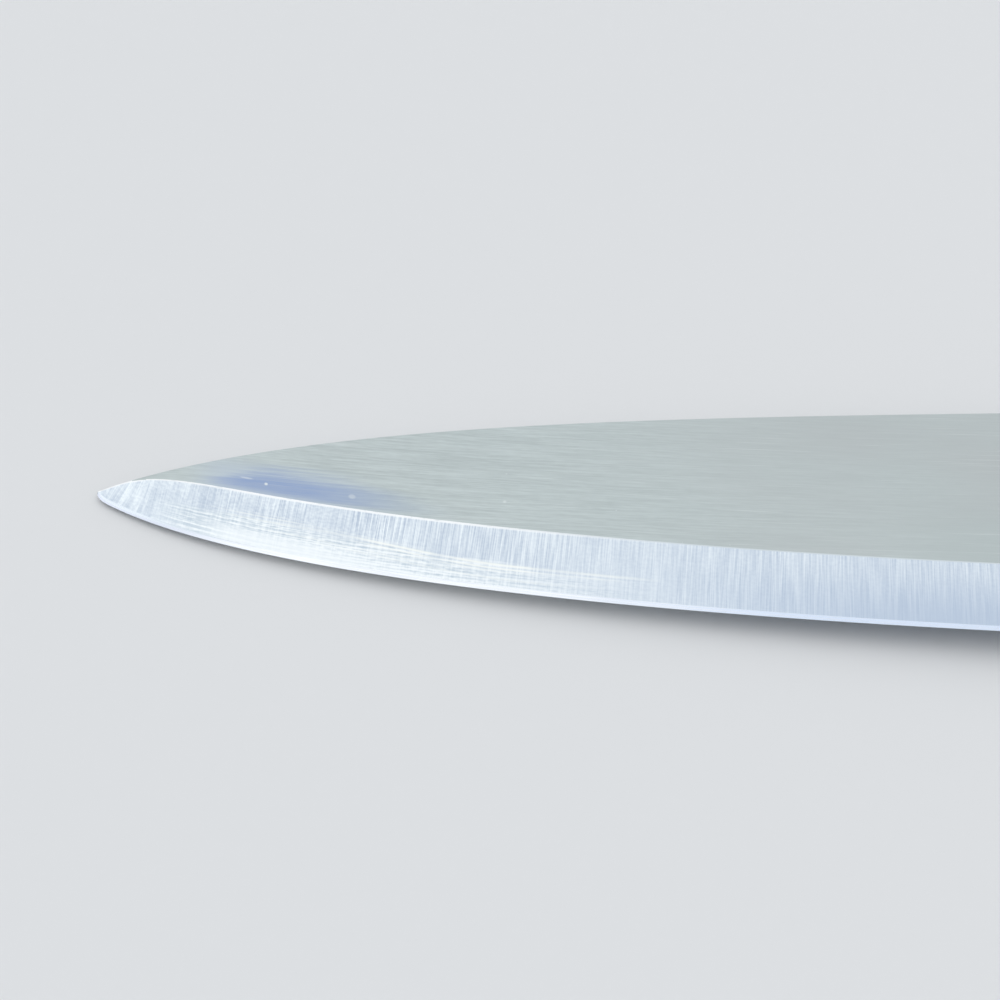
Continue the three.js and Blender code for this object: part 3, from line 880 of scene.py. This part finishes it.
def darkWood():
    material, tree, shader = newMaterial("darkWood", 0)
    knife = knifePlace(tree)
    along, height, out = partsOf(tree, knife)
    side = isLeft(tree, out)
    plankAlong = addShare(tree, along, side, woodLook["plankAlong"])
    plankUp = addShare(tree, height, side, woodLook["plankUp"])
    place = vectorOf(tree, plankAlong, plankUp, out)
    wander, fibre, streak, pores = lineSets(tree, place, woodLook, "wander", "fibre", "streak", "pores")
    pithHeight = addShare(tree, woodLook["pithHeight"], plankAlong, woodLook["pithTilt"])
    fromPith = squares(tree, minus(tree, plankUp, pithHeight), plus(tree, out, -woodLook["pithOut"]))
    radius = addShare(tree, calc(tree, "SQRT", fromPith), wander, woodLook["ringWander"])
    ring = calc(tree, "FRACT", calc(tree, "DIVIDE", radius, woodLook["ringSpacing"]))
    late = times(tree, ramp(tree, ring, *woodLook["lateStart"]), ramp(tree, ring, *woodLook["lateEnd"]))
    colour = mixColour(tree, fibre, woodLook["base"], woodLook["pale"])
    colour = mixColour(tree, times(tree, late, woodLook["lateShare"]), colour, woodLook["late"])
    colour = mixColour(tree, times(tree, streak, woodLook["streakShare"]), colour, woodLook["late"])
    colour = mixColour(tree, times(tree, pores, woodLook["poreShare"]), colour, woodLook["pore"])
    rivetStain = ramp(tree, useGroup(tree, beyondRivet, place=knife), *woodLook["rivetStain"])
    tangStain = ramp(tree, calc(tree, "ABSOLUTE", out), *woodLook["tangStain"])
    colour = mixColour(tree, calc(tree, "MAXIMUM", rivetStain, tangStain), colour, woodLook["pore"])
    dull = weighted(tree, (fibre, pores, late), woodLook["dullShares"])
    marks = addShare(tree, times(tree, pores, -1.0), fibre, woodLook["fibreHeight"])  # pores are sunk
    wireShader(tree, shader, woodLook, colour, dull, marks)
    shader.inputs["Coat Weight"].default_value = woodLook["coat"]
    shader.inputs["Coat Roughness"].default_value = woodLook["coatRoughness"]
    return material


handleWork = dict(
    rims=dict(bolster=0.00012, pin=0.00004, scale=0.0001, rivet=0.00008),  # how wide the seen edges are eased
    segments=2, smoothAngle=35.0,
)


def dressNode(nodeName, name, material, rim):
    piece = copyNode(nodeName, name)
    piece.data.materials.append(material)
    easeEdges(piece, isSeenRim, handleWork["rims"][rim], handleWork["segments"])
    finishPiece(piece, nodeName, handleWork["smoothAngle"])
    print(name, "eased:", len(piece.data.polygons), "faces")


bolsterSteel, rivetSteel, scaleWood = satinBolster(), brushedRivet(), darkWood()
for side in ("left", "right"):
    dressNode(f"bolster_{side}", f"bolster_half_{side}", bolsterSteel, "bolster")
    dressNode(f"scale_{side}", f"wood_scale_{side}", scaleWood, "scale")
for height in ("upper", "lower"):
    dressNode(f"bolster_pin_{height}", f"pin_{height}", bolsterSteel, "pin")
for spot in rivetNames:
    for half in ("sleeve", "post"):
        dressNode(f"rivet_{spot}_{half}", f"{spot}_{half}", rivetSteel, "rivet")
print("handle dressed")


# floor, light and camera

floorWork = dict(
    radius=2.2, sides=96,
    rings=((2.6, 0.05), (2.95, 0.2), (3.2, 0.45), (3.35, 0.8), (3.4, 1.2)),  # radius and height of the rim
    colour=(0.78, 0.785, 0.79), roughness=0.9,
)


def makeFloor():
    bpy.ops.object.select_all(action="DESELECT")
    radius, height = floorWork["radius"], 0.0
    bpy.ops.mesh.primitive_circle_add(vertices=floorWork["sides"], radius=radius, fill_type="NGON")
    floor = bpy.context.object
    floor.name = "pale_floor"
    bpy.ops.object.mode_set(mode="EDIT")
    bpy.ops.mesh.select_mode(type="EDGE")
    for nextRadius, nextHeight in floorWork["rings"]:
        bpy.ops.mesh.extrude_edges_move(TRANSFORM_OT_translate={"value": (0, 0, nextHeight - height)})
        bpy.ops.transform.resize(value=(nextRadius / radius, nextRadius / radius, 1))
        radius, height = nextRadius, nextHeight
    endEdit()
    bpy.ops.object.shade_smooth()
    material, _, shader = newMaterial("paleFloor", 0)
    shader.inputs["Base Color"].default_value = (*floorWork["colour"], 1)
    shader.inputs["Roughness"].default_value = floorWork["roughness"]
    floor.data.materials.append(material)


makeFloor()

skyLook = dict(
    low=(0.46, 0.465, 0.47), high=(0.80, 0.82, 0.84), window=(0.25, 0.26, 0.275),
    windowAim=(0.0, 0.5, 0.866), windowFrom=0.30, windowTo=0.95,
)


def makeSky():  # brighter overhead, and brightest behind the knife like a wide window
    world = bpy.data.worlds.new("softSky")
    bpy.context.scene.world = world
    world.use_nodes = True
    tree = world.node_tree
    aim = addNode(tree, "ShaderNodeTexCoord").outputs["Generated"]
    up = calc(tree, "MAXIMUM", partsOf(tree, aim)[2], 0.0)
    colour = mixColour(tree, up, skyLook["low"], skyLook["high"])
    facing = addNode(tree, "ShaderNodeVectorMath", operation="DOT_PRODUCT")
    tree.links.new(aim, facing.inputs[0])
    facing.inputs[1].default_value = skyLook["windowAim"]
    glow = ramp(tree, facing.outputs["Value"], skyLook["windowFrom"], skyLook["windowTo"])
    colour = mixColour(tree, glow, colour, skyLook["window"], blend="ADD")
    tree.links.new(colour, tree.nodes["Background"].inputs["Color"])


makeSky()

sunWork = dict(angle=70.0, strength=0.6, towards=(-1.06, 0.09, 0.75))  # a wide, low light beyond the tip


def makeSun():
    light = bpy.data.lights.new("softSun", "SUN")
    light.angle = math.radians(sunWork["angle"])
    light.energy = sunWork["strength"]
    lamp = bpy.data.objects.new("softSun", light)
    lamp.rotation_euler = Vector(sunWork["towards"]).to_track_quat("Z", "Y").to_euler()
    bpy.context.scene.collection.objects.link(lamp)


makeSun()

view = dict(
    size=1000, tipPixel=(97.5, 493.9), pixelsPerMm=7.16,  # the picture's size, and where the tip is in it
    elevation=45.0, azimuth=1.423, angle=28.0, clipStart=0.01,
)


def makeCamera():
    tilt, turn = math.radians(view["elevation"]), math.radians(view["azimuth"])
    right = Vector((math.cos(turn), math.sin(turn), 0))
    ahead = Vector((-math.sin(turn) * math.cos(tilt), math.cos(turn) * math.cos(tilt), -math.sin(tilt)))
    focal = view["size"] / 2 / math.tan(math.radians(view["angle"]) / 2)  # in pixels
    aside = (view["tipPixel"][0] - view["size"] / 2) / focal
    above = (view["size"] / 2 - view["tipPixel"][1]) / focal
    depth = focal / view["pixelsPerMm"] / mmPerMetre
    data = bpy.data.cameras.new("camera")
    data.angle = math.radians(view["angle"])
    data.clip_start = view["clipStart"]
    camera = bpy.data.objects.new("camera", data)
    camera.location = tip - (ahead + right * aside + right.cross(ahead) * above) * depth
    camera.rotation_euler = ahead.to_track_quat("-Z", "Y").to_euler()
    bpy.context.scene.collection.objects.link(camera)
    bpy.context.scene.camera = camera


makeCamera()
bpy.context.scene.view_settings.view_transform = "Standard"
print("floor, light and camera set")
